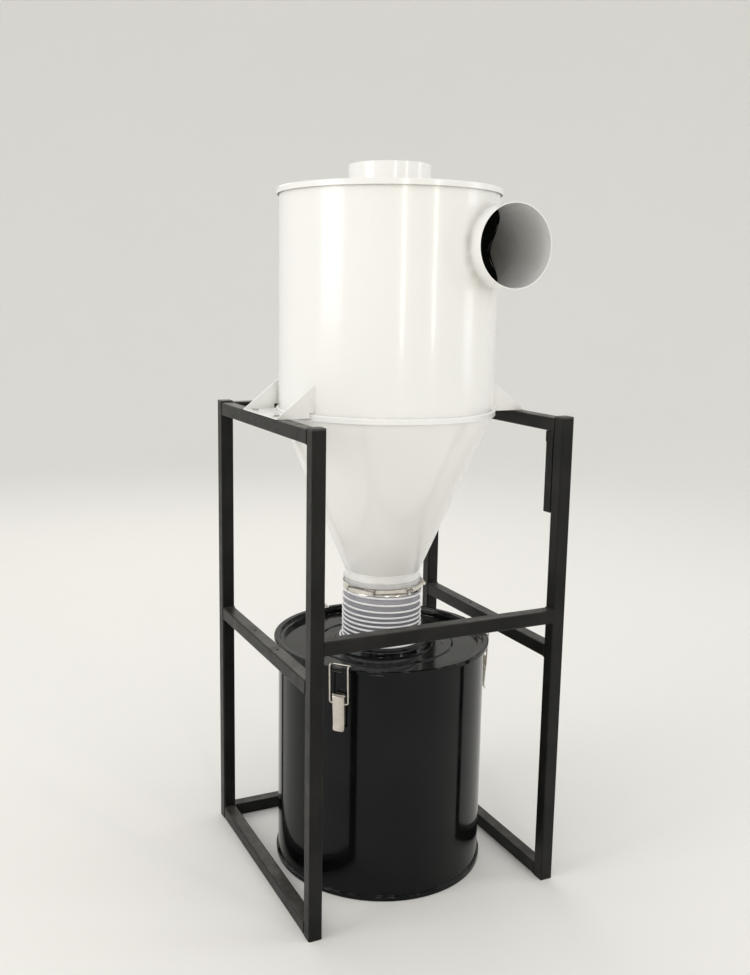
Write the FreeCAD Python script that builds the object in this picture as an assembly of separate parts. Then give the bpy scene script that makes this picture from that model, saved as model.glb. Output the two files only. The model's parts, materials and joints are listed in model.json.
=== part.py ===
import FreeCAD, Part
import math
import os

# Cyclone separator on a tube stand, with a dust drum below it.
# Millimetres. +Z is up, the stand's front is -Y, and the origin is on the floor,
# under the axis of the cyclone, which is also the middle of the stand.

Vec = FreeCAD.Vector

# ---- stand ----
frame_width = 503.0          # over the legs, along X
frame_depth = 486.0          # over the legs, along Y
tube = 25.0                  # side of the square tube
tube_wall = 1.5
tube_corner = 3.0            # outside corner radius of the tube
leg_height = 882.0
cap_height = 3.5             # plug heads on the leg tops
cap_edge = 1.0
side_rail_top = 462.0        # middle rails, left and right
front_rail_top = 533.0       # middle rail at the front
rail_hole_radius = 3.0       # two holes in each side middle rail
rail_hole_spacing = 117.0
hanger_width = 19.0          # flat bar under the right top rail
hanger_thick = 5.0
hanger_length = 148.0
hanger_gap = 1.5             # from the hanger bar to the leg

# ---- cyclone body ----
sheet = 1.5
barrel_radius = 200.0
barrel_bottom = 876.0
barrel_height = 404.0
weld_gap = 0.1               # between a tube and the hole that it is welded into
lid_overhang = 5.0
lid_rim_height = 10.0
ring_height = 12.0
ring_proud = 5.0             # how far the bottom ring stands out of the barrel
cone_height = 300.0
spigot_radius = 72.0
spigot_length = 62.0
outlet_radius = 74.6
outlet_above_lid = 45.0
outlet_inside = 190.0        # how far the outlet pipe reaches down into the barrel
inlet_radius = 72.2
inlet_inset = 2.0            # outer wall of the inlet pipe, inside the barrel's side
inlet_mouth = 227.0          # mouth of the inlet pipe, in front of the axis
inlet_draft = 0.1            # past its full ring the inlet's bore opens by this much
inlet_below_top = 102.0      # axis of the inlet pipe, below the barrel's top

# ---- brackets ----
bracket_length = 170.0       # along the rail
bracket_height = 57.0
bracket_notch = 3.5          # relief in a gusset's inner corner, clear of the bottom ring
bolt_spacing = 110.0
bolt_radius = 3.0
bolt_clearance = 0.2
bolt_head_radius = 5.5
bolt_head_height = 4.0
bolt_grip = 10.0             # shank below the bracket's plate

# ---- drum ----
drum_radius = 199.3
drum_wall = 1.2
drum_height = 442.0          # to the top of its rolled rim
drum_roll_out = 4.5          # the rolled rim, outside the drum wall
drum_roll_height = 5.0
drum_roll_bevel = 1.5
drum_chime_out = 3.6         # bottom chime, outside the drum's wall
drum_chime_height = 8.0
drum_chime_slope = 2.0
drum_chime_bevel = 1.0
drum_bottom_rise = 6.0

# ---- drum lid ----
lid_sheet = 1.2
lid_play = 0.2               # between the lid's channel and the drum's wall
lid_edge_out = 8.9           # edge of the lid, outside the drum's wall
drum_lid_skirt = 6.5         # turned-down edge, below the drum's rim
lid_corner = 1.5
crest_round = 3.0            # inner edge of the crest
ledge_depth = 5.5            # from the lid's crest down to the ledge inside it
ledge_width = 6.5
flat_depth = 13.2            # from the crest down to the flat
wall_slope = 1.2
bead_outer = 140.0           # pressed ring in the flat
bead_inner = 117.0
bead_rise = 2.5
bead_slope = 3.0
boss_radius = 101.0          # raised middle, in two steps
boss_rise = 6.5
boss_slope = 3.0
step_radius = 90.0
step_rise = 3.0
step_slope = 3.0

# ---- hose and its collars ----
hose_clearance = 0.3
hose_wall = 2.0
hose_rib = 1.8               # how far a rib stands out
hose_rib_width = 3.0
hose_top = 562.5
hose_lip = 9.5               # plain end above the clamp
hose_foot_out = 6.5          # flared lower end that stands on the lid
hose_foot_height = 4.0
clamp_width = 14.0
clamp_sheet = 0.8
collar_height = 42.0         # drum collar, above the lid
collar_flange = 10.0
collar_flange_thick = 2.0
rib_pitch = 13.0
screw_angle = -14.0          # where the clamp screw sits, in degrees from +X
screw_housing = (7.0, 24.0, 13.0)
screw_radius = 3.2
screw_length = 34.0

# ---- toggle latches ----
latch_angles = (222.5, 342.5, 102.5)
latch_pivot_height = 392.0
latch_pivot_out = 8.4        # pivot, outside the drum wall
pin_radius = 1.5
pin_clearance = 0.05
base_width = 20.0
base_length = 58.0
base_sheet = 1.5
ear_nose = 2.3               # radius of an ear's end, round the pin
ear_root = 10.0              # how far an ear runs down the plate below the pin
pin_end = 0.8                # riveted end of the pin, outside the lever
lever_width = 24.0
lever_sheet = 1.2
lever_length = 66.0
lever_below_pin = 1.0        # top of the handle, below the pin's middle
lever_face = 2.8             # inner face of the handle, outside the pin's middle
lever_lean = 4.0             # how much closer to the drum the lever's foot is
lever_tab = 11.0             # bent end of the lever
lever_tab_out = 2.5
cheek_margin = 3.0           # sheet round the pin and the bail in the cheeks
bail_drop = 14.5             # bail pivot, below the lever pivot
bail_width = 38.0            # over the wire
bail_wire = 1.5              # radius of the wire
bail_bend = 3.0              # radius of its bends, along the wire's middle
bail_rim_gap = 0.9           # from the wire to the lid's edge
bail_rise = 4.7              # top bend of the wire, above the lid's crest
hook_gap = 0.3               # from the hook to the inside of the lid's crest
hook_rise = 1.0              # middle of the hook, above the crest


def box(x0, y0, z0, x1, y1, z1):
    return Part.makeBox(x1 - x0, y1 - y0, z1 - z0, Vec(x0, y0, z0))


def rounded_square(side, radius, length):
    """A square bar along Z with rounded edges, centred on the axis."""
    half = side / 2.0
    bar = Part.makeBox(side, side, length, Vec(-half, -half, 0))
    if radius <= 0.05:
        return bar
    upright = [e for e in bar.Edges if abs(e.tangentAt(e.FirstParameter).z) > 0.9]
    return bar.makeFillet(radius, upright)


def square_tube(length):
    outer = rounded_square(tube, tube_corner, length)
    inner = rounded_square(tube - 2 * tube_wall, tube_corner - tube_wall, length + 2)
    inner.translate(Vec(0, 0, -1))
    return outer.cut(inner)


def tube_along_x(x0, x1, y, z):
    bar = square_tube(x1 - x0)
    bar.rotate(Vec(0, 0, 0), Vec(0, 1, 0), 90)
    bar.translate(Vec(x0, y, z))
    return bar


def tube_along_y(y0, y1, x, z):
    bar = square_tube(y1 - y0)
    bar.rotate(Vec(0, 0, 0), Vec(1, 0, 0), -90)
    bar.translate(Vec(x, y0, z))
    return bar


def revolve(points):
    """Turn a closed (radius, height) outline about Z."""
    pts = [Vec(r, 0, z) for r, z in points]
    face = Part.Face(Part.makePolygon(pts + [pts[0]]))
    return face.revolve(Vec(0, 0, 0), Vec(0, 0, 1), 360)


def pipe(outer, wall, z0, z1):
    return revolve([(outer - wall, z0), (outer, z0), (outer, z1), (outer - wall, z1)])


def cylinder(radius, length, start, direction):
    return Part.makeCylinder(radius, length, start, direction)


# ---- stand ----
half_w = frame_width / 2.0
half_d = frame_depth / 2.0
leg_x = half_w - tube / 2.0
leg_y = half_d - tube / 2.0
inner_x = half_w - tube
inner_y = half_d - tube


def leg(x, y):
    bar = square_tube(leg_height)
    bar.translate(Vec(x, y, 0))
    return bar


def leg_caps():
    caps = []
    for x in (-leg_x, leg_x):
        for y in (-leg_y, leg_y):
            cap = rounded_square(tube, tube_corner, cap_height)
            top = [e for e in cap.Edges if e.BoundBox.ZMin > cap_height - 0.01]
            cap = cap.makeFillet(cap_edge, top)
            cap.translate(Vec(x, y, leg_height))
            caps.append(cap)
    return Part.makeCompound(caps)


def side_rail(side, top):
    return tube_along_y(-inner_y, inner_y, side * leg_x, top - tube / 2.0)


def cross_rail(y, top):
    return tube_along_x(-inner_x, inner_x, y, top - tube / 2.0)


def bolted_top_rail(side):
    rail = side_rail(side, leg_height)
    for y in (-bolt_spacing / 2.0, bolt_spacing / 2.0):
        start = Vec(side * leg_x, y, leg_height - tube / 2.0)
        rail = rail.cut(cylinder(bolt_radius + bolt_clearance, tube, start, Vec(0, 0, 1)))
    return rail


def drilled_side_rail(side):
    rail = side_rail(side, side_rail_top)
    for y in (-rail_hole_spacing / 2.0, rail_hole_spacing / 2.0):
        start = Vec(side * leg_x, y, side_rail_top - tube - 1)
        rail = rail.cut(cylinder(rail_hole_radius, tube + 2, start, Vec(0, 0, 1)))
    return rail


def hanger_bar():
    top = leg_height - tube
    y0 = -inner_y + hanger_gap
    return box(inner_x, y0, top - hanger_length, inner_x + hanger_thick, y0 + hanger_width, top)


# ---- cyclone body ----
barrel_top = barrel_bottom + barrel_height
inlet_x = barrel_radius - inlet_radius - inlet_inset
inlet_z = barrel_top - inlet_below_top
cone_bottom = barrel_bottom - cone_height


def inlet_bore(y0):
    """Straight as far as the pipe is a full ring, then opening by a hair."""
    radius = inlet_radius - sheet
    ring_end = -math.sqrt(barrel_radius ** 2 - (inlet_x - inlet_radius) ** 2)
    straight = cylinder(radius, ring_end - y0, Vec(inlet_x, y0, inlet_z), Vec(0, 1, 0))
    opening = Part.makeCone(radius, radius + inlet_draft, -ring_end,
                            Vec(inlet_x, ring_end, inlet_z), Vec(0, 1, 0))
    return straight.fuse(opening)


def barrel_shell():
    shell = pipe(barrel_radius, sheet, barrel_bottom, barrel_top)
    return shell.cut(inlet_bore(-inlet_mouth))


def barrel_lid():
    outer = barrel_radius + lid_overhang
    hole = outlet_radius + weld_gap
    top = barrel_top + sheet
    low = top - lid_rim_height
    return revolve([(hole, barrel_top), (outer - sheet, barrel_top), (outer - sheet, low),
                    (outer, low), (outer, top - 1.0), (outer - 1.0, top), (hole, top)])


def barrel_bottom_ring():
    inner = barrel_radius + weld_gap
    outer = barrel_radius + ring_proud
    z0 = barrel_bottom
    z1 = barrel_bottom + ring_height
    bevel = ring_proud * 0.4
    return revolve([(inner, z0), (outer - bevel, z0), (outer, z0 + bevel),
                    (outer, z1 - bevel), (outer - bevel, z1), (inner, z1)])


def cone():
    top, low = barrel_radius, spigot_radius
    return revolve([(top - sheet, barrel_bottom), (top, barrel_bottom),
                    (low, cone_bottom), (low - sheet, cone_bottom)])


def cone_spigot():
    return pipe(spigot_radius, sheet, cone_bottom - spigot_length, cone_bottom)


def outlet_pipe():
    return pipe(outlet_radius, sheet, barrel_top - outlet_inside, barrel_top + outlet_above_lid)


def inlet_pipe():
    outer = cylinder(inlet_radius, inlet_mouth, Vec(inlet_x, -inlet_mouth, inlet_z),
                     Vec(0, 1, 0))
    inner = inlet_bore(-inlet_mouth - 1)
    barrel = cylinder(barrel_radius + weld_gap, barrel_height, Vec(0, 0, barrel_bottom),
                      Vec(0, 0, 1))
    solids = outer.cut(inner).cut(barrel).Solids
    return max(solids, key=lambda s: s.Volume)


# ---- brackets that carry the cyclone ----
def bracket(side):
    """Plate on the top rail with a triangular gusset at each end."""
    half = bracket_length / 2.0
    z0 = leg_height
    ring_top = barrel_bottom + ring_height
    plate = box(0, -half, z0, half_w, half, z0 + sheet)
    gussets = []
    for y in (-half, half - sheet):
        outline = [Vec(0, y, z0 + sheet), Vec(half_w, y, z0 + sheet)]
        reach = math.sqrt(barrel_radius ** 2 - half ** 2)
        outline += [Vec(reach, y, z0 + bracket_height), Vec(0, y, z0 + bracket_height)]
        gusset = Part.Face(Part.makePolygon(outline + [outline[0]])).extrude(Vec(0, sheet, 0))
        relief = cylinder(barrel_radius + ring_proud + bracket_notch,
                          ring_top + bracket_notch - z0 + 1, Vec(0, 0, z0 - 1), Vec(0, 0, 1))
        gussets.append(gusset.cut(relief))
    body = plate.fuse(gussets)
    body = body.cut(cylinder(barrel_radius + weld_gap, bracket_height + 2,
                             Vec(0, 0, z0 - 1), Vec(0, 0, 1)))
    body = body.cut(cylinder(barrel_radius + ring_proud + weld_gap, ring_top + weld_gap - z0 + 1,
                             Vec(0, 0, z0 - 1), Vec(0, 0, 1)))
    for y in (-bolt_spacing / 2.0, bolt_spacing / 2.0):
        start = Vec(leg_x, y, z0 - 1)
        body = body.cut(cylinder(bolt_radius + bolt_clearance, sheet + 2, start, Vec(0, 0, 1)))
    body = max(body.Solids, key=lambda s: s.Volume).removeSplitter()
    if side < 0:
        body = body.mirror(Vec(0, 0, 0), Vec(1, 0, 0))
    return body


def bracket_bolts():
    bolts = []
    seat = leg_height + sheet
    for x in (-leg_x, leg_x):
        for y in (-bolt_spacing / 2.0, bolt_spacing / 2.0):
            head = cylinder(bolt_head_radius, bolt_head_height, Vec(x, y, seat), Vec(0, 0, 1))
            shank = cylinder(bolt_radius, bolt_grip + sheet, Vec(x, y, seat - bolt_grip - sheet),
                             Vec(0, 0, 1))
            bolts.append(head.fuse(shank))
    return Part.makeCompound(bolts)


# ---- drum ----
drum_chime_radius = drum_radius + drum_chime_out
drum_lid_radius = drum_radius + lid_edge_out


def drum_body():
    r, t = drum_radius, drum_wall
    top = drum_height
    low = top - drum_roll_height
    rim = r + drum_roll_out
    bevel = drum_roll_bevel
    foot = drum_chime_height
    slope = foot + drum_chime_slope
    chime = drum_chime_radius
    edge = drum_chime_bevel
    inner = chime - 4 * t
    return revolve([(inner, 0), (chime - edge, 0), (chime, edge), (chime, foot), (r, slope),
                    (r, low), (rim, low),
                    (rim, top), (r - t + bevel, top), (r - t, top - bevel), (r - t, slope),
                    (r - t, foot), (inner, foot)])


def drum_bottom():
    r = drum_chime_radius - 4 * drum_wall - weld_gap
    return revolve([(0, drum_bottom_rise), (r, drum_bottom_rise),
                    (r, drum_bottom_rise + drum_wall), (0, drum_bottom_rise + drum_wall)])


lid_under = drum_height + weld_gap
lid_crest = lid_under + lid_sheet
lid_wall = drum_radius - drum_wall - lid_play - lid_sheet


def crest_corner(height, inset):
    """Rounded inner edge of the crest; inset gives the underside of the sheet."""
    centre_r = lid_wall + crest_round
    centre_z = lid_crest - crest_round
    reach = crest_round - inset
    corner = [(centre_r, height)]
    for step in (1, 2, 3):
        turn = math.radians(30 * step)
        corner.append((centre_r - reach * math.sin(turn), centre_z + reach * math.cos(turn)))
    return corner


def lid_outline():
    """Upper surface of the lid inside its crest, as (radius, height)."""
    ledge = lid_crest - ledge_depth
    flat = lid_crest - flat_depth
    foot = lid_wall - wall_slope - ledge_width
    boss = flat + boss_rise
    return crest_corner(lid_crest, 0) + [
            (lid_wall - wall_slope, ledge), (foot, ledge),
            (foot - wall_slope, flat), (bead_outer, flat), (bead_outer - bead_slope, flat + bead_rise),
            (bead_inner + bead_slope, flat + bead_rise), (bead_inner, flat),
            (boss_radius, flat), (boss_radius - boss_slope, boss), (step_radius, boss),
            (step_radius - step_slope, boss + step_rise)]


def lid_middle():
    return lid_crest - flat_depth + boss_rise + step_rise


def drum_lid():
    """Pressed sheet with a channel round its edge that sits over the drum's rim."""
    t = lid_sheet
    r = drum_lid_radius
    hole = spigot_radius + weld_gap
    corner = crest_corner(lid_under, t)
    upper = lid_outline() + [(hole, lid_middle())]
    ledge_z = upper[len(corner)][1] - t
    under = corner + [(lid_wall - wall_slope + t, ledge_z)]
    under += [(radius, z - t) for radius, z in upper[len(corner) + 1:]]
    under.reverse()
    skirt = lid_under - drum_lid_skirt
    edge = [(r - t, lid_under), (r - t, skirt), (r, skirt), (r, lid_crest - lid_corner),
            (r - lid_corner, lid_crest)]
    return revolve(upper + under + edge)


def drum_collar():
    """Collar that the hose is pushed over, with a flange under the lid."""
    r, t = spigot_radius, sheet
    top = lid_middle() + collar_height
    under = lid_middle() - lid_sheet - weld_gap
    low = under - collar_flange_thick
    return revolve([(r - t, low), (r + collar_flange, low), (r + collar_flange, under),
                    (r, under), (r, top), (r - t, top)])


# ---- hose between the cone and the drum ----
hose_inner = spigot_radius + hose_clearance
hose_outer = hose_inner + hose_wall


def hose():
    low = lid_middle() + weld_gap
    foot = hose_outer + hose_foot_out
    outline = [(hose_inner, low), (foot, low), (foot, low + hose_foot_height / 2.0),
               (hose_outer, low + hose_foot_height)]
    low += hose_foot_height
    zone_top = hose_top - hose_lip - clamp_width
    count = int((zone_top - low - hose_rib_width) / rib_pitch)
    for i in range(count + 1):
        z = low + 3.0 + i * (zone_top - low - 3.0 - hose_rib_width - 1.0) / max(count, 1)
        outline += [(hose_outer, z), (hose_outer + hose_rib, z + hose_rib_width * 0.3),
                    (hose_outer + hose_rib, z + hose_rib_width * 0.7), (hose_outer, z + hose_rib_width)]
    outline += [(hose_outer, hose_top), (hose_inner, hose_top)]
    return revolve(outline)


def hose_clamp():
    z1 = hose_top - hose_lip
    return pipe(hose_outer + weld_gap + clamp_sheet, clamp_sheet, z1 - clamp_width, z1)


def clamp_screw():
    depth, along, high = screw_housing
    start = hose_outer + weld_gap + clamp_sheet + weld_gap
    z = hose_top - hose_lip - clamp_width / 2.0
    housing = box(start, -along / 2.0, z - high / 2.0, start + depth, along / 2.0, z + high / 2.0)
    screw = cylinder(screw_radius, screw_length, Vec(start + depth / 2.0, -screw_length / 2.0, z),
                     Vec(0, 1, 0))
    body = housing.fuse(screw).cut(cylinder(start, high + 2, Vec(0, 0, z - high / 2.0 - 1),
                                            Vec(0, 0, 1)))
    body.rotate(Vec(0, 0, 0), Vec(0, 0, 1), screw_angle)
    return body


# ---- toggle latches: built facing +X, then turned to their angle ----
pivot_x = drum_radius + latch_pivot_out
pivot_z = latch_pivot_height
bail_z = pivot_z - bail_drop
plate_x = pivot_x + lever_face
wire_y = bail_width / 2.0 - bail_wire


def turned(shape, angle):
    copy = shape.copy()
    copy.rotate(Vec(0, 0, 0), Vec(0, 0, 1), angle)
    return copy


def side_sheet(outline, y, thick):
    """A flat piece whose outline is given as (x, z), from y towards +Y."""
    points = [Vec(x, y, z) for x, z in outline]
    return Part.Face(Part.makePolygon(points + [points[0]])).extrude(Vec(0, thick, 0))


def cross_pin(radius, half, z):
    return cylinder(radius, 2 * half, Vec(pivot_x, -half, z), Vec(0, 1, 0))


def latch_base():
    """Riveted back plate with two ears and the lever's pin."""
    x0 = drum_radius + weld_gap
    half = base_width / 2.0
    top = pivot_z + ear_nose
    plate = box(x0, -half, top - base_length, x0 + base_sheet, half, top)
    parts = []
    for y in (-half, half - base_sheet):
        outline = [(x0, top), (pivot_x, top), (pivot_x, pivot_z - ear_nose),
                   (x0 + base_sheet, pivot_z - ear_root), (x0, pivot_z - ear_root)]
        parts.append(side_sheet(outline, y, base_sheet))
        parts.append(cylinder(ear_nose, base_sheet, Vec(pivot_x, y, pivot_z), Vec(0, 1, 0)))
    parts.append(cross_pin(pin_radius, lever_width / 2.0 + pin_end, pivot_z))
    return plate.fuse(parts).removeSplitter()


def latch_lever():
    """Bent sheet handle with two cheeks that carry the pin and the bail."""
    top = pivot_z - lever_below_pin
    foot = top - lever_length
    knee = foot + lever_tab
    half = lever_width / 2.0
    t = lever_sheet
    x_knee = plate_x - lever_lean
    x_foot = x_knee + lever_tab_out
    handle = side_sheet([(plate_x, top), (plate_x + t, top), (x_knee + t, knee),
                         (x_foot + t, foot), (x_foot, foot), (x_knee, knee)], -half, lever_width)
    high = pivot_z + cheek_margin
    low = bail_z - cheek_margin
    x_low = plate_x - lever_lean * (top - low) / (top - knee)
    back = pivot_x - cheek_margin
    cheeks = []
    for y in (-half, half - t):
        cheeks.append(side_sheet([(back, high), (pivot_x + pin_radius, high),
                                  (plate_x + t / 2.0, top), (x_low + t / 2.0, low),
                                  (back, low)], y, t))
    body = handle.fuse(cheeks)
    for z, radius in ((pivot_z, pin_radius), (bail_z, bail_wire)):
        body = body.cut(cross_pin(radius + pin_clearance, half + 1, z))
    return body.removeSplitter()


def bent_wire(points, radius, bend):
    """Round wire along straight runs that are joined by arcs."""
    edges = []
    start = points[0]
    for before, corner, after in zip(points[:-2], points[1:-1], points[2:]):
        back = (before - corner).normalize()
        ahead = (after - corner).normalize()
        half = back.getAngle(ahead) / 2.0
        first = corner + back * (bend / math.tan(half))
        last = corner + ahead * (bend / math.tan(half))
        middle = corner + (back + ahead).normalize() * (bend / math.sin(half) - bend)
        edges.append(Part.makeLine(start, first))
        edges.append(Part.Arc(first, middle, last).toShape())
        start = last
    edges.append(Part.makeLine(start, points[-1]))
    section = Part.Wire(Part.makeCircle(radius, points[0], points[1] - points[0]))
    return Part.Wire(edges).makePipeShell([section], True, False)


def latch_bail():
    """Bent wire: two ends in the lever's cheeks, two sides, and a hook over the lid."""
    rim_x = drum_lid_radius + bail_wire + bail_rim_gap
    rim_z = lid_crest + bail_rise
    hook_x = lid_wall - bail_wire - hook_gap
    hook_z = lid_crest + hook_rise
    end_y = lever_width / 2.0 - lever_sheet - 0.8
    route = [Vec(pivot_x, end_y, bail_z), Vec(pivot_x, wire_y, bail_z),
             Vec(rim_x, wire_y, rim_z), Vec(hook_x, wire_y, hook_z)]
    mirrored = [Vec(p.x, -p.y, p.z) for p in reversed(route)]
    return bent_wire(route + mirrored, bail_wire, bail_bend)


def latch_bases():
    return Part.makeCompound([turned(latch_base(), a) for a in latch_angles])


# ---- every node ----
nodes = {
    "leg_front_left": leg(-leg_x, -leg_y),
    "leg_front_right": leg(leg_x, -leg_y),
    "leg_back_left": leg(-leg_x, leg_y),
    "leg_back_right": leg(leg_x, leg_y),
    "leg_caps": leg_caps(),
    "top_rail_left": bolted_top_rail(-1),
    "top_rail_right": bolted_top_rail(1),
    "top_rail_back": cross_rail(leg_y, leg_height),
    "middle_rail_left": drilled_side_rail(-1),
    "middle_rail_right": drilled_side_rail(1),
    "middle_rail_front": cross_rail(-leg_y, front_rail_top),
    "bottom_rail_left": side_rail(-1, tube),
    "bottom_rail_right": side_rail(1, tube),
    "bottom_rail_back": cross_rail(leg_y, tube),
    "hanger_bar": hanger_bar(),
    "barrel_shell": barrel_shell(),
    "barrel_lid": barrel_lid(),
    "barrel_bottom_ring": barrel_bottom_ring(),
    "cone": cone(),
    "cone_spigot": cone_spigot(),
    "outlet_pipe": outlet_pipe(),
    "inlet_pipe": inlet_pipe(),
    "bracket_left": bracket(-1),
    "bracket_right": bracket(1),
    "bracket_bolts": bracket_bolts(),
    "hose": hose(),
    "hose_clamp": hose_clamp(),
    "clamp_screw": clamp_screw(),
    "drum_body": drum_body(),
    "drum_bottom": drum_bottom(),
    "drum_lid": drum_lid(),
    "drum_collar": drum_collar(),
    "latch_bases": latch_bases(),
}
for name, angle in zip("abc", latch_angles):
    nodes["latch_lever_" + name] = turned(latch_lever(), angle)
    nodes["latch_bail_" + name] = turned(latch_bail(), angle)

os.makedirs("parts", exist_ok=True)
for node, shape in nodes.items():
    shape.exportStep("parts/" + node + ".step")
print("lid crest", lid_crest, "middle", lid_middle(), "pivot", pivot_x, pivot_z, bail_z)
for node, shape in nodes.items():
    print(node, shape.isValid(), len(shape.Solids), round(shape.Volume))
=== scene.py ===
"""Looks of a dust cyclone on its stand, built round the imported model.

The cyclone is gloss white sheet metal, its stand is black square tube, and a clear ribbed hose
with a steel clamp leads down into a gloss black drum that three toggle latches keep shut.
"""

import json
import math
import random

import bmesh
import bpy
from mathutils import Matrix, Vector


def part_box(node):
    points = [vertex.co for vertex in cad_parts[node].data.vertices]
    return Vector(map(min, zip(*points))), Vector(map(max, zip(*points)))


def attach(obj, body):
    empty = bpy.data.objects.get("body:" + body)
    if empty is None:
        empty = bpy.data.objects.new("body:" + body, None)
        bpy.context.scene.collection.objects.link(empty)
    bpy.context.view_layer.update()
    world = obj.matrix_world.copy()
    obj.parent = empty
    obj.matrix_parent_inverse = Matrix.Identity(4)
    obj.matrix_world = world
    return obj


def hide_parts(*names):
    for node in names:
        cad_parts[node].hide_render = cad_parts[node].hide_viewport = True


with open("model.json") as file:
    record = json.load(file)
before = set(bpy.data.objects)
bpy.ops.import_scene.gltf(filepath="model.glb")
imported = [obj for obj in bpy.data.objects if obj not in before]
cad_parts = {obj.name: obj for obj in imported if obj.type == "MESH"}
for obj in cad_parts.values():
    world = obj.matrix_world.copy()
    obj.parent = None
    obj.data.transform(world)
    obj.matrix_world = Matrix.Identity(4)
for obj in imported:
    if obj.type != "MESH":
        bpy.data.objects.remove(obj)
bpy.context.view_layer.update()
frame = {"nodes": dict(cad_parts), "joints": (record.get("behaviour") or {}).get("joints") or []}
nodes = frame["nodes"]

# ---- sizes in metres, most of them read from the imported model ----
X, Y, Z = Vector((1, 0, 0)), Vector((0, 1, 0)), Vector((0, 0, 1))


def low(node):
    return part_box(node)[0]


def high(node):
    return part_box(node)[1]


barrel_radius = high("barrel_shell").y
tube = high("leg_front_right").x - low("leg_front_right").x
drum_skin = 0.0013              # from the edge of the drum's bottom to the outside of its wall
drum_radius = high("drum_bottom").y + drum_skin
spigot_radius = 0.072           # outside of the cone's spigot
inlet_radius = (high("inlet_pipe").z - low("inlet_pipe").z) / 2.0
inlet_x = high("inlet_pipe").x - inlet_radius
inlet_z = low("inlet_pipe").z + inlet_radius
rib_top = 0.535                 # height of the first turn of the hose's rib, below the clamp
latch_angles = (222.5, 342.5, 102.5)    # degrees round the drum, for latches a, b and c


# ---- finishes ----
class Finish:
    """A material, with the few kinds of node that the finishes here are made from."""

    def __init__(self, name, **sockets):
        self.material = bpy.data.materials.new(name)
        self.material.use_nodes = True
        self.tree = self.material.node_tree
        self.shader = self.tree.nodes["Principled BSDF"]
        self.place = self.tree.nodes.new("ShaderNodeTexCoord").outputs["Object"]
        for socket, value in sockets.items():
            self.shader.inputs[socket.replace("_", " ")].default_value = value

    def node(self, kind, *inputs, **settings):
        made = self.tree.nodes.new("ShaderNode" + kind)
        for name, value in settings.items():
            setattr(made, name, value)
        for number, value in enumerate(inputs):
            if value is None:
                continue
            if isinstance(value, bpy.types.NodeSocket):
                self.tree.links.new(value, made.inputs[number])
            else:
                made.inputs[number].default_value = value
        return made

    def stretched(self, x, y, z):
        return self.node("VectorMath", self.place, (x, y, z), operation="MULTIPLY").outputs[0]

    def noise(self, scale, detail=3.0, place=None):
        made = self.node("TexNoise", place or self.place)
        made.inputs["Scale"].default_value = scale
        made.inputs["Detail"].default_value = detail
        return made.outputs["Fac"]

    def between(self, value, start, end, low_value=0.0, high_value=1.0):
        return self.node("MapRange", value, start, end, low_value, high_value).outputs[0]

    def times(self, a, b):
        return self.node("Math", a, b, operation="MULTIPLY").outputs[0]

    def plus(self, a, b):
        return self.node("Math", a, b, operation="ADD").outputs[0]

    def mix(self, share, a, b):
        made = self.node("Mix", data_type="RGBA")
        for name, value in (("Factor", share), ("A", a), ("B", b)):
            wanted = "VALUE" if name == "Factor" else "RGBA"
            socket = next(s for s in made.inputs if s.name == name and s.type == wanted)
            if isinstance(value, bpy.types.NodeSocket):
                self.tree.links.new(value, socket)
            else:
                socket.default_value = value
        return next(s for s in made.outputs if s.type == "RGBA")

    def edges(self, radius):
        """1 on sharp edges and 0 on flat faces."""
        soft = self.node("Bevel", radius, samples=4).outputs[0]
        flat = self.node("NewGeometry").outputs["Normal"]
        turned = self.node("VectorMath", soft, flat, operation="DOT_PRODUCT").outputs["Value"]
        away = self.node("Math", 1.0, turned, operation="SUBTRACT").outputs[0]
        return self.between(away, 0.02, 0.25)

    def upward(self):
        """1 on faces that look up."""
        normal = self.node("NewGeometry").outputs["Normal"]
        height = self.node("SeparateXYZ", normal).outputs[2]
        return self.between(height, 0.5, 0.95)

    def faces_axis(self, across):
        """1 on a wall that faces its own axis; across is the place, measured square to that axis."""
        out = self.node("VectorMath", across, operation="NORMALIZE").outputs[0]
        normal = self.node("NewGeometry").outputs["Normal"]
        facing = self.node("VectorMath", normal, out, operation="DOT_PRODUCT").outputs["Value"]
        return self.between(facing, -0.3, -0.5)

    def creases(self, distance):
        """1 in corners, where shade falls, and 0 in the open; it drives painted shade."""
        open_share = self.node("AmbientOcclusion", None, distance, samples=4).outputs["AO"]
        return self.between(open_share, 0.85, 0.35)

    def bumps(self, *layers):
        """Each layer is (height, depth in metres)."""
        normal = None
        for height, depth in layers:
            made = self.node("Bump")
            self.tree.links.new(height, made.inputs["Height"])
            made.inputs["Distance"].default_value = depth
            made.inputs["Strength"].default_value = 1.0
            if normal:
                self.tree.links.new(normal, made.inputs["Normal"])
            normal = made.outputs[0]
        self.to("Normal", normal)

    def to(self, socket, value):
        self.tree.links.new(value, self.shader.inputs[socket])


def stand_paint():
    """Black powder coat, satin, thin on the edges, with a little dust on top."""
    f = Finish("stand_paint")
    cloud = f.noise(14.0, 4.0)
    dark = f.mix(f.between(cloud, 0.35, 0.65), (0.007, 0.007, 0.0066, 1), (0.013, 0.0128, 0.0115, 1))
    worn = f.times(f.edges(0.0012), f.between(f.noise(60.0, 5.0), 0.42, 0.62))
    coloured = f.mix(f.times(worn, 0.5), dark, (0.09, 0.085, 0.075, 1))
    dust = f.times(f.upward(), f.between(f.noise(35.0, 6.0), 0.4, 0.75, 0.1, 0.5))
    f.to("Base Color", f.mix(dust, coloured, (0.12, 0.113, 0.098, 1)))
    f.to("Roughness", f.between(f.noise(40.0, 4.0), 0.3, 0.7, 0.3, 0.44))
    f.shader.inputs["Specular IOR Level"].default_value = 0.16
    f.bumps((f.noise(900.0, 2.0), 0.00004), (f.noise(130.0, 2.0), 0.00008))
    return f.material


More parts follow.
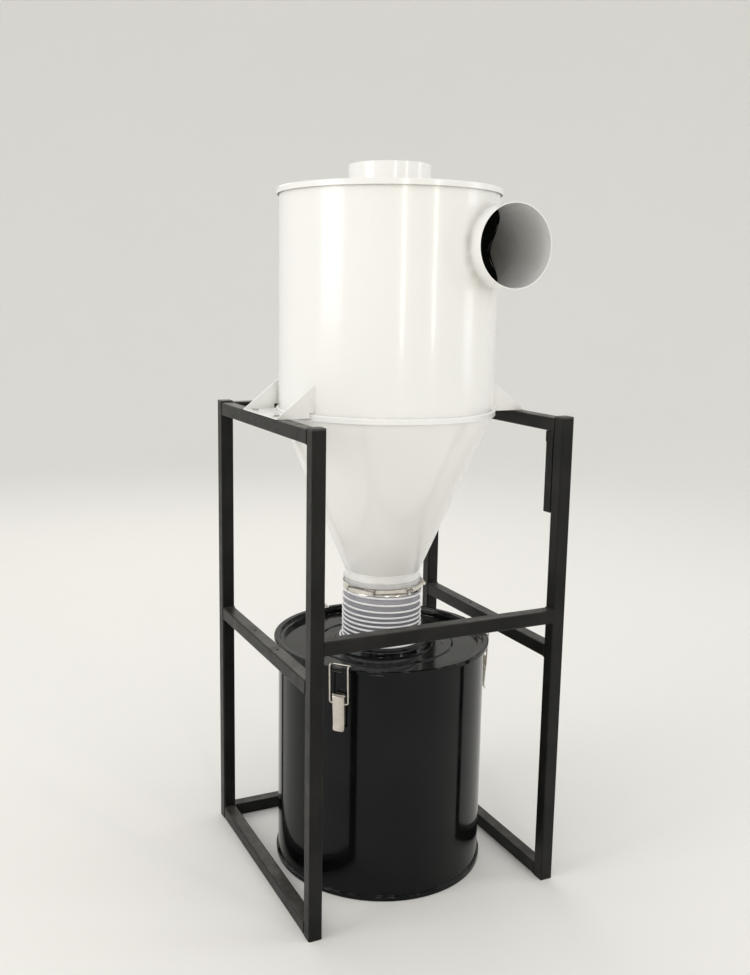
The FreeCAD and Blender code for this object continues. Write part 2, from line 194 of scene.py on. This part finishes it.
def cap_plastic():
    """Moulded black plastic."""
    f = Finish("cap_plastic")
    f.to("Base Color", f.mix(f.noise(90.0), (0.02, 0.02, 0.02, 1), (0.035, 0.034, 0.031, 1)))
    f.to("Roughness", f.between(f.noise(200.0), 0.3, 0.7, 0.42, 0.6))
    f.bumps((f.noise(1500.0, 2.0), 0.00003))
    return f.material


def body_paint(name="body_paint", hollow=None, painted_shade_colours=()):
    """Gloss white paint on rolled sheet, darkened in its corners as painted shade; where hollow says
    so, the two painted shade colours instead.
    """
    f = Finish(name)
    cloud = f.noise(3.0, 3.0)
    white = f.mix(f.between(cloud, 0.3, 0.7), (0.86, 0.865, 0.85, 1), (0.89, 0.885, 0.865, 1))
    # Patchy brown darkening in the corners, from ambient occlusion: painted shade.
    corner_shade = f.times(f.creases(0.02), f.between(f.noise(45.0, 5.0), 0.35, 0.7, 0.1, 0.6))
    white = f.mix(corner_shade, white, (0.42, 0.39, 0.33, 1))
    if hollow:
        # Where hollow says so, the colour is painted shade for an unlit inside.
        painted_shade_tone = f.mix(f.noise(60.0, 5.0), painted_shade_colours[0], painted_shade_colours[1])
        white = f.mix(hollow(f), white, painted_shade_tone)
    f.to("Base Color", white)
    f.to("Roughness", f.between(f.noise(25.0, 4.0), 0.3, 0.7, 0.14, 0.24))
    f.shader.inputs["Coat Weight"].default_value = 0.25
    f.shader.inputs["Coat Roughness"].default_value = 0.06
    sheet = f.noise(5.0, 1.0, f.stretched(1, 1, 0.35))
    f.bumps((sheet, 0.0012), (f.noise(420.0, 2.0), 0.00003))
    return f.material


def inside_barrel(f):
    """1 on the inner side of a wall round the barrel's axis, where painted shade goes."""
    return f.faces_axis(f.stretched(1, 1, 0))


def inside_inlet(f):
    """1 deep in the inlet's bore and 0 at its mouth, where painted shade goes."""
    centred = f.node("VectorMath", f.place, (inlet_x, 0, inlet_z), operation="SUBTRACT").outputs[0]
    across = f.node("VectorMath", centred, (1, 0, 1), operation="MULTIPLY").outputs[0]
    depth = f.node("SeparateXYZ", f.place).outputs[1]
    shade_depth = f.plus(depth, f.between(f.noise(28.0, 4.0), 0.3, 0.7, -0.02, 0.02))
    return f.times(f.faces_axis(across), f.between(shade_depth, -0.13, 0.02))


def drum_paint():
    """Gloss black enamel, with fine dust and small chips on the edges, and a bluish tint on its
    reflections as painted sky reflection.
    """
    # The bluish specular tint stands in for reflected sky: painted reflection colour.
    f = Finish("drum_paint", Specular_IOR_Level=0.2, Specular_Tint=(0.9, 0.97, 1.0, 1))
    cloud = f.noise(7.0, 3.0)
    black = f.mix(f.between(cloud, 0.35, 0.65), (0.002, 0.0022, 0.0024, 1), (0.0045, 0.0045, 0.0045, 1))
    dust = f.times(f.upward(), f.between(f.noise(150.0, 6.0), 0.45, 0.85, 0.01, 0.09))
    black = f.mix(dust, black, (0.2, 0.19, 0.17, 1))
    chips = f.times(f.edges(0.0015), f.between(f.noise(48.0, 4.0), 0.56, 0.64, 0.0, 0.8))
    f.to("Base Color", f.mix(chips, black, (0.4, 0.39, 0.36, 1)))
    f.to("Roughness", f.between(f.noise(30.0, 5.0), 0.3, 0.75, 0.07, 0.16))
    sheet = f.noise(6.0, 1.0, f.stretched(1, 1, 0.3))
    f.bumps((sheet, 0.0009), (f.noise(350.0, 2.0), 0.00002))
    return f.material


def metal(name, colour, smooth, rough):
    """Plated or bare steel, with faint warm stains."""
    f = Finish(name, Metallic=1.0)
    stains = f.between(f.noise(90.0, 3.0), 0.45, 0.75, 0.0, 0.4)
    f.to("Base Color", f.mix(stains, colour, (0.55, 0.5, 0.42, 1)))
    f.to("Roughness", f.between(f.noise(160.0, 3.0), 0.3, 0.7, smooth, rough))
    f.bumps((f.noise(500.0, 2.0), 0.000006))
    return f.material


def hose_pvc():
    """Clear grey sleeve, seen through, darker towards its foot as painted shade."""
    f = Finish("hose_pvc", IOR=1.45)
    height = f.node("SeparateXYZ", f.place).outputs[2]
    # The sleeve's colour turns from grey to near black towards its foot: painted shade.
    deep = f.between(height, rib_top, low("hose").z)
    upper = f.mix(f.noise(30.0), (0.46, 0.46, 0.52, 1), (0.6, 0.6, 0.65, 1))
    lower = f.mix(f.noise(30.0), (0.1, 0.12, 0.15, 1), (0.2, 0.22, 0.26, 1))
    lip = f.between(height, rib_top + 0.006, rib_top + 0.01)
    f.to("Base Color", f.mix(lip, f.mix(deep, upper, lower), (0.8, 0.8, 0.82, 1)))
    f.to("Alpha", f.between(lip, 0.0, 1.0, 0.55, 0.3))
    f.to("Roughness", f.between(f.noise(80.0), 0.3, 0.7, 0.1, 0.22))
    f.bumps((f.noise(60.0, 2.0), 0.0004))
    return f.material


def hose_rib():
    """White rib moulded into the sleeve."""
    f = Finish("hose_rib")
    f.to("Base Color", f.mix(f.noise(60.0), (0.88, 0.88, 0.9, 1), (0.94, 0.94, 0.95, 1)))
    f.to("Roughness", f.between(f.noise(80.0), 0.3, 0.7, 0.22, 0.34))
    f.bumps((f.noise(500.0), 0.00004))
    return f.material


finishes = {
    "stand_paint": stand_paint(),
    "cap_plastic": cap_plastic(),
    "body_paint": body_paint(),
    "bolt_zinc": metal("bolt_zinc", (0.5, 0.5, 0.49, 1), 0.28, 0.45),
    "hose_pvc": hose_pvc(),
    "hose_rib": hose_rib(),
    "clamp_steel": metal("clamp_steel", (0.7, 0.67, 0.62, 1), 0.14, 0.26),
    "drum_paint": drum_paint(),
    "latch_nickel": metal("latch_nickel", (0.62, 0.59, 0.53, 1), 0.26, 0.36),
}
for node in nodes.values():
    for place, material in enumerate(node.data.materials):
        node.material_slots[place].material = finishes[material.name.split(".")[0]]
# Near black inside the barrel, cone and outlet: painted shade for their unlit insides.
barrel_inside_shade = body_paint(
    "body_paint_primed", inside_barrel, ((0.03, 0.031, 0.029, 1), (0.07, 0.07, 0.064, 1)))
for name in ("barrel_shell", "cone", "cone_spigot", "outlet_pipe"):
    nodes[name].material_slots[0].material = barrel_inside_shade
# Grey deep in the inlet's bore, lighter at its mouth: painted shade.
nodes["inlet_pipe"].material_slots[0].material = body_paint(
    "inlet_paint", inside_inlet, ((0.3, 0.3, 0.28, 1), (0.5, 0.47, 0.41, 1)))


# ---- meshes ----
def piece(name, mesh, slot, replaced=(), body="cyclone", sharp=35.0, finish=None):
    """Gives a mesh its finish, its place in the tables and smooth shading.

    The finish has the slot's name, unless another one is given.
    """
    bmesh.ops.recalc_face_normals(mesh, faces=mesh.faces)
    data = bpy.data.meshes.new(name)
    mesh.to_mesh(data)
    mesh.free()
    data.shade_smooth()
    data.set_sharp_from_angle(angle=math.radians(sharp))
    made = bpy.data.objects.new(name, data)
    bpy.context.scene.collection.objects.link(made)
    data.materials.append(finishes[finish or slot])
    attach(made, body)
    if replaced:
        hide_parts(*replaced)
    return made


def round_point(radius, angle, z):
    """A point at that distance and angle from the upright axis."""
    return Vector((radius * math.cos(angle), radius * math.sin(angle), z))


def bridge(mesh, rings):
    """Joins rings that have as many points each, and closes the first and the last."""
    for lower, upper in zip(rings[:-1], rings[1:]):
        for k in range(len(lower)):
            n = (k + 1) % len(lower)
            mesh.faces.new((lower[k], lower[n], upper[n], upper[k]))
    mesh.faces.new(rings[0][::-1])
    mesh.faces.new(rings[-1])


def add_sweep(mesh, points, radii, sides=10):
    """A round bar along the points, closed at both ends."""
    rings = []
    side = None
    for i, point in enumerate(points):
        ahead = points[min(i + 1, len(points) - 1)] - points[max(i - 1, 0)]
        ahead.normalize()
        side = ahead.orthogonal() if side is None else side
        side = (side - ahead * side.dot(ahead)).normalized()
        other = ahead.cross(side)
        ring = []
        for k in range(sides):
            a = 2 * math.pi * k / sides
            away = side * math.cos(a) + other * math.sin(a)
            ring.append(mesh.verts.new(point + away * radii[i]))
        rings.append(ring)
    bridge(mesh, rings)


def add_weld(mesh, points, radius):
    """A weld bead along the points, with its ripples and a slower unevenness."""
    ripple = 0.0022
    run = 0.0
    radii = []
    for i, point in enumerate(points):
        if i:
            run += (point - points[i - 1]).length
        wave = math.sin(2 * math.pi * run / ripple)
        slow = math.sin(run * 37.0) + math.sin(run * 91.0 + 1.3)
        radii.append(radius * (1.0 + 0.1 * wave + 0.09 * slow))
    radii[0] = radii[-1] = radius * 0.4
    add_sweep(mesh, points, radii, sides=8)


def straight(a, b):
    """Points from a to b, close enough together for a weld's ripples."""
    count = max(2, int((b - a).length / 0.0007))
    return [a.lerp(b, i / count) for i in range(count + 1)]


def circle(radius, z, steps):
    """Points round the upright axis, with the first one again at the end."""
    return [round_point(radius, 2 * math.pi * i / steps, z) for i in range(steps + 1)]


def add_prism(mesh, centre, sides, radius, z0, z1, bevel=0.0, turn=0.0):
    """An upright prism with a bevelled top."""
    rings = []
    for r, z in ((radius, z0), (radius, z1 - bevel), (radius - bevel, z1)):
        rings.append([mesh.verts.new(centre + round_point(r, turn + 2 * math.pi * k / sides, z))
                      for k in range(sides)])
    bridge(mesh, rings)


def add_lathe(mesh, outline, turns):
    """A closed outline of (radius, height), turned round the upright axis."""
    columns = [[mesh.verts.new(round_point(r, 2 * math.pi * k / turns, z)) for r, z in outline]
               for k in range(turns)]
    for k in range(turns):
        here, there = columns[k], columns[(k + 1) % turns]
        for i in range(len(outline)):
            n = (i + 1) % len(outline)
            mesh.faces.new((here[i], there[i], there[n], here[n]))


# ---- hose between the cone and the drum ----
hose_wall = 0.0743              # outside of the clear wall
hose_bore = 0.0726              # inside of it, round the cone's spigot
hose_foot = low("hose").z
hose_top = high("hose").z
flare_top = hose_foot + 0.0058  # where the flare at its foot begins
wide_pitch, tight_pitch = 0.0135, 0.0088
wide_turns, easing = 1.6, 1.6


def rib_height(turn):
    """Height of the rib after that many turns down from its start; the lower turns are squeezed."""
    share = min(max((turn - wide_turns) / easing, 0.0), 1.0)
    wide = min(turn, wide_turns) + easing * (share - share * share / 2.0)
    tight = easing * share * share / 2.0 + max(turn - wide_turns - easing, 0.0)
    return rib_top - wide_pitch * wide - tight_pitch * tight


def hose_ribs():
    """The white rib that winds down the clear wall, with a full ring at its foot."""
    mesh = bmesh.new()
    per_turn, radius, start = 96, 0.0019, math.radians(244)
    first = last = -per_turn // 4
    while rib_height(last / per_turn) > hose_foot + 0.006:
        last += 1
    points = [round_point(hose_wall + 0.0006, start + 2 * math.pi * i / per_turn,
                          rib_height(i / per_turn)) for i in range(first, last)]
    radii = [radius] * len(points)
    radii[0] = radii[-1] = radius * 0.3
    add_sweep(mesh, points, radii)
    ring_radius, ring_height, sides = hose_wall + 0.0052, hose_foot + 0.0021, 10
    ring = [(ring_radius + radius * math.cos(a), ring_height + radius * math.sin(a))
            for a in (2 * math.pi * k / sides for k in range(sides))]
    add_lathe(mesh, ring, per_turn)
    piece("hose_ribs", mesh, "hose_pvc", ["hose"], finish="hose_rib")


def hose_sleeve():
    """The clear wall: slightly uneven between the ribs, plain under the clamp, flared at its foot."""
    mesh = bmesh.new()
    steps = 60
    outline = [(hose_wall + 0.0065, hose_foot), (hose_wall + 0.0063, hose_foot + 0.0017),
               (hose_wall + 0.0035, hose_foot + 0.0034), (hose_wall, flare_top)]
    for i in range(1, steps):
        z = flare_top + (rib_top - flare_top) * i / steps
        outline.append((hose_wall - 0.0004 + 0.0003 * math.sin(i * 1.9), z))
    outline += [(hose_wall, rib_top + 0.002), (hose_wall, hose_top - 0.0095),
                (hose_wall + 0.0009, hose_top - 0.006), (hose_wall + 0.0014, hose_top - 0.0008),
                (hose_wall + 0.0008, hose_top), (hose_bore, hose_top), (hose_bore, hose_foot)]
    add_lathe(mesh, outline, 128)
    piece("hose_sleeve", mesh, "hose_pvc", ["hose"], sharp=50)


# ---- worm-drive clamp ----
clamp_low, clamp_high = low("hose_clamp").z, high("hose_clamp").z
clamp_middle = (clamp_low + clamp_high) / 2.0
band_radius = high("hose_clamp").y
band_sheet = 0.0006
screw_angle = math.radians(-14)
screw_out = 0.0042              # from the band's outside to the screw's axis
worm_from, worm_length = -0.0165, 0.031
worm_lift = 0.0002              # the worm's axis, a little outside the housing's middle


def clamp_band():
    """Steel band with rolled edges."""
    mesh = bmesh.new()
    r, lip = band_radius, 0.0006
    outline = [(r - band_sheet, clamp_low + lip), (r + 0.0001, clamp_low),
               (r + 0.0004, clamp_low + 0.0002), (r, clamp_low + 2 * lip),
               (r, clamp_high - 2 * lip), (r + 0.0004, clamp_high - 0.0002),
               (r + 0.0001, clamp_high), (r - band_sheet, clamp_high - lip)]
    add_lathe(mesh, outline, 160)
    piece("clamp_band", mesh, "clamp_steel", ["hose_clamp"], sharp=40)


def clamp_tail():
    """The band's loose end, which lies over it and is slotted for the screw."""
    mesh = bmesh.new()
    step = math.radians(0.6)
    half, slot_half = (clamp_high - clamp_low) / 2.0 - 0.0008, 0.0022
    first, last = math.radians(-22), math.radians(-71)
    columns = int((first - last) / step)
    levels = (-half, -slot_half, slot_half, half)
    grid = []
    for i in range(columns + 1):
        squeeze = 1.0 if i < columns - 1 else 0.6
        grid.append([mesh.verts.new(round_point(band_radius + 0.0011, first - step * i,
                                                clamp_middle + level * squeeze))
                     for level in levels])
    for i in range(columns):
        slotted = i % 4 == 2 and i < 24 or i in (columns - 6, columns - 5, columns - 4)
        for k in range(3):
            if k == 1 and slotted:
                continue
            mesh.faces.new((grid[i][k], grid[i + 1][k], grid[i + 1][k + 1], grid[i][k + 1]))
    made = piece("clamp_tail", mesh, "clamp_steel", ["hose_clamp"])
    thick = made.modifiers.new("sheet", "SOLIDIFY")
    thick.thickness = band_sheet
    thick.offset = 0.0


def clamp_turn():
    """Carries a shape to the screw: its x points away from the hose and its y along the band."""
    out = round_point(1.0, screw_angle, 0)
    along = Vector((-out.y, out.x, 0))
    middle = out * (band_radius + screw_out) + Z * clamp_middle
    return Matrix.Translation(middle) @ Matrix((out, along, Z)).transposed().to_4x4()


def clamp_housing():
    """Arched housing pressed from sheet, straight along the band."""
    mesh = bmesh.new()
    turn = clamp_turn()
    half_long, half_high, rim = 0.0075, 0.0062, 0.0008
    arch = [(-0.0040, -half_high)]
    arch += [(-0.0010 + 0.0042 * math.cos(a), half_high * math.sin(a))
             for a in (math.radians(d) for d in range(-80, 81, 16))]
    arch += [(-0.0040, half_high)]
    bridge(mesh, [[mesh.verts.new(turn @ Vector((x, y, z))) for x, z in arch]
                  for y in (-half_long, -half_long + rim, half_long - rim, half_long)])
    piece("clamp_housing", mesh, "clamp_steel", ["clamp_screw"], sharp=40)


def clamp_worm():
    """The worm with its thread, a round collar and a hexagon head."""
    mesh = bmesh.new()
    turn = clamp_turn()
    core, thread, pitch, count = 0.0021, 0.0026, 0.0016, 120
    points = [turn @ Vector((worm_lift, worm_from + worm_length * i / count, 0))
              for i in range(count + 1)]
    radii = [core + (thread - core) * abs(math.sin(math.pi * worm_length * i / count / pitch))
             for i in range(count + 1)]
    add_sweep(mesh, points, radii, sides=14)
    collar, head = (-0.0125, -0.0112, 0.0038, 24), (-0.0172, -0.0125, 0.0036, 6)
    for y0, y1, radius, sides in (collar, head):
        angles = [2 * math.pi * k / sides for k in range(sides)]
        bridge(mesh, [[mesh.verts.new(turn @ Vector((worm_lift + radius * math.cos(a), y,
                                                     radius * math.sin(a)))) for a in angles]
                      for y in (y0, y1)])
    piece("clamp_worm", mesh, "clamp_steel", ["clamp_screw"], sharp=30)


# ---- bracket bolts ----
def bracket_bolts():
    """Hexagon bolts with washers on the brackets' plates; each head is turned its own way."""
    mesh = bmesh.new()
    washer_radius, head_radius, thread_radius = 0.0062, 0.0052, 0.0029
    washer, head, thread = 0.0011, 0.0040, 0.0110
    plate_top = high("bracket_bolts").z - head
    x = abs(low("bracket_left").x + tube / 2.0)
    half_spacing = 0.055
    draw = random.Random(5)
    for side in (-1, 1):
        for y in (-half_spacing, half_spacing):
            centre = Vector((side * x, y, plate_top))
            add_prism(mesh, centre, 40, washer_radius, 0.0, washer, 0.0002)
            add_prism(mesh, centre, 6, head_radius, washer, head, 0.0007, draw.uniform(0, 1.0))
            add_prism(mesh, centre, 24, thread_radius, -thread, 0.0002)
    piece("bracket_bolt_heads", mesh, "bolt_zinc", ["bracket_bolts"], sharp=25)


# ---- welds ----
def body_welds():
    """Beads where the white pieces meet, painted over."""
    mesh = bmesh.new()
    half, sheet = high("bracket_left").y, 0.0015
    from_z, to_z = high("barrel_bottom_ring").z + 0.004, high("bracket_left").z - 0.001
    for side in (-1, 1):
        for y in (-half, -half + sheet, half - sheet, half):
            x = side * math.sqrt(barrel_radius ** 2 - y * y)
            add_weld(mesh, straight(Vector((x, y, from_z)), Vector((x, y, to_z))), 0.0012)
    add_weld(mesh, circle(high("outlet_pipe").x + 0.0001, high("barrel_lid").z + 0.0001, 640), 0.0011)
    add_weld(mesh, inlet_seam(560), 0.0014)
    add_weld(mesh, circle(spigot_radius + 0.0002, low("cone").z + 0.0002, 420), 0.0008)
    piece("body_welds", mesh, "body_paint")


def inlet_seam(steps):
    """The line where the inlet pipe meets the barrel."""
    path = []
    for i in range(steps + 1):
        a = 2 * math.pi * i / steps
        x = inlet_x + inlet_radius * math.cos(a)
        path.append(Vector((x, -math.sqrt(max(barrel_radius ** 2 - x * x, 0.0)),
                            inlet_z + inlet_radius * math.sin(a))))
    return path


def tube_end(centre, u, v):
    """Round all four sides of a tube's end, or only the three that are clear of the floor."""
    reach = tube / 2.0 - 0.0002
    near_floor = -0.88
    turns = [(-1, -1), (-1, 1), (1, 1), (1, -1), (-1, -1)]
    if centre.z < tube:
        turns = [(-1, near_floor), (-1, 1), (1, 1), (1, near_floor)]
    corners = [centre + (u * a + v * b) * reach for a, b in turns]
    path = []
    for a, b in zip(corners[:-1], corners[1:]):
        path += straight(a, b)[:-1]
    return path


def stand_welds():
    """Beads round the joints of the tubes, painted over."""
    mesh = bmesh.new()
    for level in ("top", "middle", "bottom"):
        for side in ("left", "right"):
            a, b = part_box(level + "_rail_" + side)
            for y in (a.y, b.y):
                add_weld(mesh, tube_end(Vector(((a.x + b.x) / 2, y, (a.z + b.z) / 2)), X, Z), 0.0011)
    for rail in ("top_rail_back", "middle_rail_front", "bottom_rail_back"):
        a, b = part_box(rail)
        for x in (a.x, b.x):
            add_weld(mesh, tube_end(Vector((x, (a.y + b.y) / 2, (a.z + b.z) / 2)), Y, Z), 0.0011)
    a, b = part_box("hanger_bar")
    for y in (a.y, b.y):
        add_weld(mesh, straight(Vector((a.x, y, b.z)), Vector((a.x, y, b.z - 0.02))), 0.0012)
    piece("stand_welds", mesh, "stand_paint")


# ---- latch rivets ----
def latch_rivets():
    """Two rivet heads on each latch's back plate."""
    mesh = bmesh.new()
    base_plate = 0.0016         # from the drum's wall to the outside of the plate
    plate, foot, sides = drum_radius + base_plate, low("latch_bases").z, 20
    dome = ((0.0026, 0.0), (0.0025, 0.0006), (0.0017, 0.0011), (0.0006, 0.0013))
    for angle in latch_angles:
        out = round_point(1.0, math.radians(angle), 0)
        side = Vector((-out.y, out.x, 0))
        for z in (foot + 0.008, foot + 0.026):
            rings = []
            for r, x in dome:
                rings.append([mesh.verts.new(out * (plate + x) + Z * z
                                             + (side * math.cos(t) + Z * math.sin(t)) * r)
                              for t in (2 * math.pi * k / sides for k in range(sides))])
            bridge(mesh, rings)
    piece("latch_rivets", mesh, "latch_nickel")


# ---- latch handles ----
latch_sheet = 0.0012
handle_half = 0.0114            # half of the handle's width
handle_corner = 0.0045          # radius of its lower corners
handle_curl = 0.0034            # radius of its curled top
handle_lean = 0.004             # how far it leans in on its way down
tab_height, tab_kick = 0.011, 0.0025    # the tab at its foot, turned out again
bail_drop = 0.0145              # from the handle's pin down to the bail's


def handle_outline(pin_x, pin_z, foot):
    """The handle seen from its side, from the curled top down to the tab."""
    top = pin_z - handle_curl
    tab_top = foot + tab_height
    plate = pin_x + handle_curl
    line = [(pin_x + handle_curl * math.cos(a), top + handle_curl * math.sin(a))
            for a in (math.radians(d) for d in range(50, -1, -10))]
    line += [(plate - handle_lean * i / 20, top - (top - tab_top) * i / 20) for i in range(1, 21)]
    fall = tab_height - latch_sheet / 2.0
    line += [(plate - handle_lean + tab_kick * i / 10, tab_top - fall * i / 10) for i in range(1, 11)]
    return line


def cheek_outline(pin_x, pin_z):
    """One cheek, which carries the handle's pin and the bail."""
    plate, bail_z = pin_x + handle_curl, pin_z - bail_drop
    return [(pin_x - 0.003, pin_z + 0.002), (pin_x - 0.0012, pin_z + 0.0032),
            (pin_x + 0.0012, pin_z + 0.0032), (plate - 0.0004, pin_z + 0.0002),
            (plate - 0.0018, bail_z - 0.004), (pin_x, bail_z - 0.004),
            (pin_x - 0.003, bail_z - 0.0015)]


def latch_handle(letter):
    """Bent sheet handle, slightly crowned and tapered, with a cheek at either side."""
    base = "latch_lever_" + letter
    hinge = next(j for j in frame["joints"] if j["name"] == "lever_" + letter + "_hinge")
    pin = Vector(hinge["pos_m"])
    out = Vector((pin.x, pin.y, 0)).normalized()
    turn = Matrix((out, Vector((-out.y, out.x, 0)), Z)).transposed()
    pin_x, pin_z = pin.dot(out), pin.z
    foot = low(base).z
    crown, taper, across = 0.0005, 0.0006, 12
    shares = [2 * k / across - 1 for k in range(across + 1)]
    mesh = bmesh.new()
    rows = []
    for x, z in handle_outline(pin_x, pin_z, foot):
        into = max(handle_corner - (z - foot), 0.0)
        half = handle_half - handle_corner + math.sqrt(max(handle_corner ** 2 - into ** 2, 0.0))
        half -= taper * (pin_z - z) / (pin_z - foot)
        rows.append([mesh.verts.new(turn @ Vector((x + crown * (1 - share ** 2), half * share, z)))
                     for share in shares])
    for upper, lower in zip(rows[:-1], rows[1:]):
        for k in range(across):
            mesh.faces.new((upper[k], upper[k + 1], lower[k + 1], lower[k]))
    for y in (-handle_half + 0.0007, handle_half - 0.0007):
        mesh.faces.new([mesh.verts.new(turn @ Vector((x, y, z)))
                        for x, z in cheek_outline(pin_x, pin_z)])
    made = piece("latch_handle_" + letter, mesh, "latch_nickel", [base], "lever_" + letter)
    thick = made.modifiers.new("sheet", "SOLIDIFY")
    thick.thickness = latch_sheet
    thick.offset = 0.0
    soft = made.modifiers.new("edges", "BEVEL")
    soft.width = 0.0003
    soft.segments = 2
    made.modifiers.new("shading", "WEIGHTED_NORMAL")


hose_ribs()
hose_sleeve()
clamp_band()
clamp_tail()
clamp_housing()
clamp_worm()
bracket_bolts()
body_welds()
stand_welds()
latch_rivets()
for letter in "abc":
    latch_handle(letter)


# ---- studio ----
def studio_floor():
    """A pale floor that curves up into a wall all round."""
    flat, bend, top = 4.5, 3.5, 4.8
    steps, turns = 16, 96
    profile = [(0.0, 0.0), (flat, 0.0)]
    for i in range(1, steps + 1):
        a = math.pi / 2 * i / steps
        profile.append((flat + bend * math.sin(a), bend * (1 - math.cos(a))))
    profile.append((flat + bend, top))
    mesh = bmesh.new()
    rings = []
    for r, z in profile:
        if r == 0:
            rings.append([mesh.verts.new((0, 0, z))])
        else:
            rings.append([mesh.verts.new((r * math.cos(t), r * math.sin(t), z))
                          for t in (2 * math.pi * k / turns for k in range(turns))])
    for lower, upper in zip(rings[:-1], rings[1:]):
        for k in range(turns):
            n = (k + 1) % turns
            if len(lower) == 1:
                mesh.faces.new((lower[0], upper[k], upper[n]))
            else:
                mesh.faces.new((lower[k], upper[k], upper[n], lower[n]))
    data = bpy.data.meshes.new("studio_floor")
    mesh.to_mesh(data)
    mesh.free()
    for polygon in data.polygons:
        polygon.use_smooth = True
    floor = bpy.data.objects.new("studio_floor", data)
    bpy.context.scene.collection.objects.link(floor)
    f = Finish("floor_paper", Roughness=0.9)
    f.to("Base Color", f.mix(f.noise(0.6), (0.79, 0.78, 0.75, 1), (0.81, 0.8, 0.77, 1)))
    data.materials.append(f.material)


def soft_light(name, place, target, width, height, power, colour):
    """A rectangular lamp that looks at the target."""
    data = bpy.data.lights.new(name, "AREA")
    data.shape = "RECTANGLE"
    data.size, data.size_y = width, height
    data.energy = power
    data.color = colour
    light = bpy.data.objects.new(name, data)
    light.location = place
    light.rotation_euler = (Vector(target) - Vector(place)).to_track_quat("-Z", "Y").to_euler()
    bpy.context.scene.collection.objects.link(light)


def studio():
    """White air, the floor and five soft lamps round the object."""
    world = bpy.data.worlds.new("studio_air")
    bpy.context.scene.world = world
    world.use_nodes = True
    world.node_tree.nodes["Background"].inputs["Color"].default_value = (1.0, 1.0, 1.0, 1)
    world.node_tree.nodes["Background"].inputs["Strength"].default_value = 0.93
    studio_floor()
    middle = (0, 0, 0.7)
    soft_light("key", (-3.5, -0.3, 2.0), middle, 1.6, 2.2, 36, (1.0, 0.98, 0.94))
    soft_light("strip", (-0.72, -3.4, 1.6), middle, 0.2, 1.6, 9, (1.0, 0.93, 0.82))
    soft_light("strip_right", (1.2, -3.3, 1.6), middle, 0.2, 1.6, 9, (1.0, 0.93, 0.82))
    soft_light("fill", (3.2, -1.6, 1.8), middle, 0.8, 2.4, 12, (0.95, 0.98, 1.0))
    soft_light("back", (0.6, 3.2, 2.6), middle, 2.4, 1.2, 20, (1.0, 0.95, 0.86))


def camera():
    """The view that the object is known from: from the front left, a little above the lid."""
    data = bpy.data.cameras.new("camera")
    data.sensor_width = 36.0
    data.lens = 37.67
    data.shift_x = 0.0386
    data.shift_y = -0.0184
    data.dof.use_dof = False
    made = bpy.data.objects.new("camera", data)
    yaw, pitch, roll = (math.radians(a) for a in (24.44, -9.60, 0.65))
    ahead = Vector((math.sin(yaw) * math.cos(pitch), math.cos(yaw) * math.cos(pitch),
                    math.sin(pitch)))
    level = ahead.cross(Z).normalized()
    upright = level.cross(ahead)
    right = level * math.cos(roll) + upright * math.sin(roll)
    up = upright * math.cos(roll) - level * math.sin(roll)
    made.matrix_world = Matrix.Translation((-0.87124, -1.70270, 1.08973)) @ Matrix(
        (right, up, -ahead)).transposed().to_4x4()
    bpy.context.scene.collection.objects.link(made)
    bpy.context.scene.camera = made


studio()
camera()
bpy.context.scene.view_settings.view_transform = "Standard"
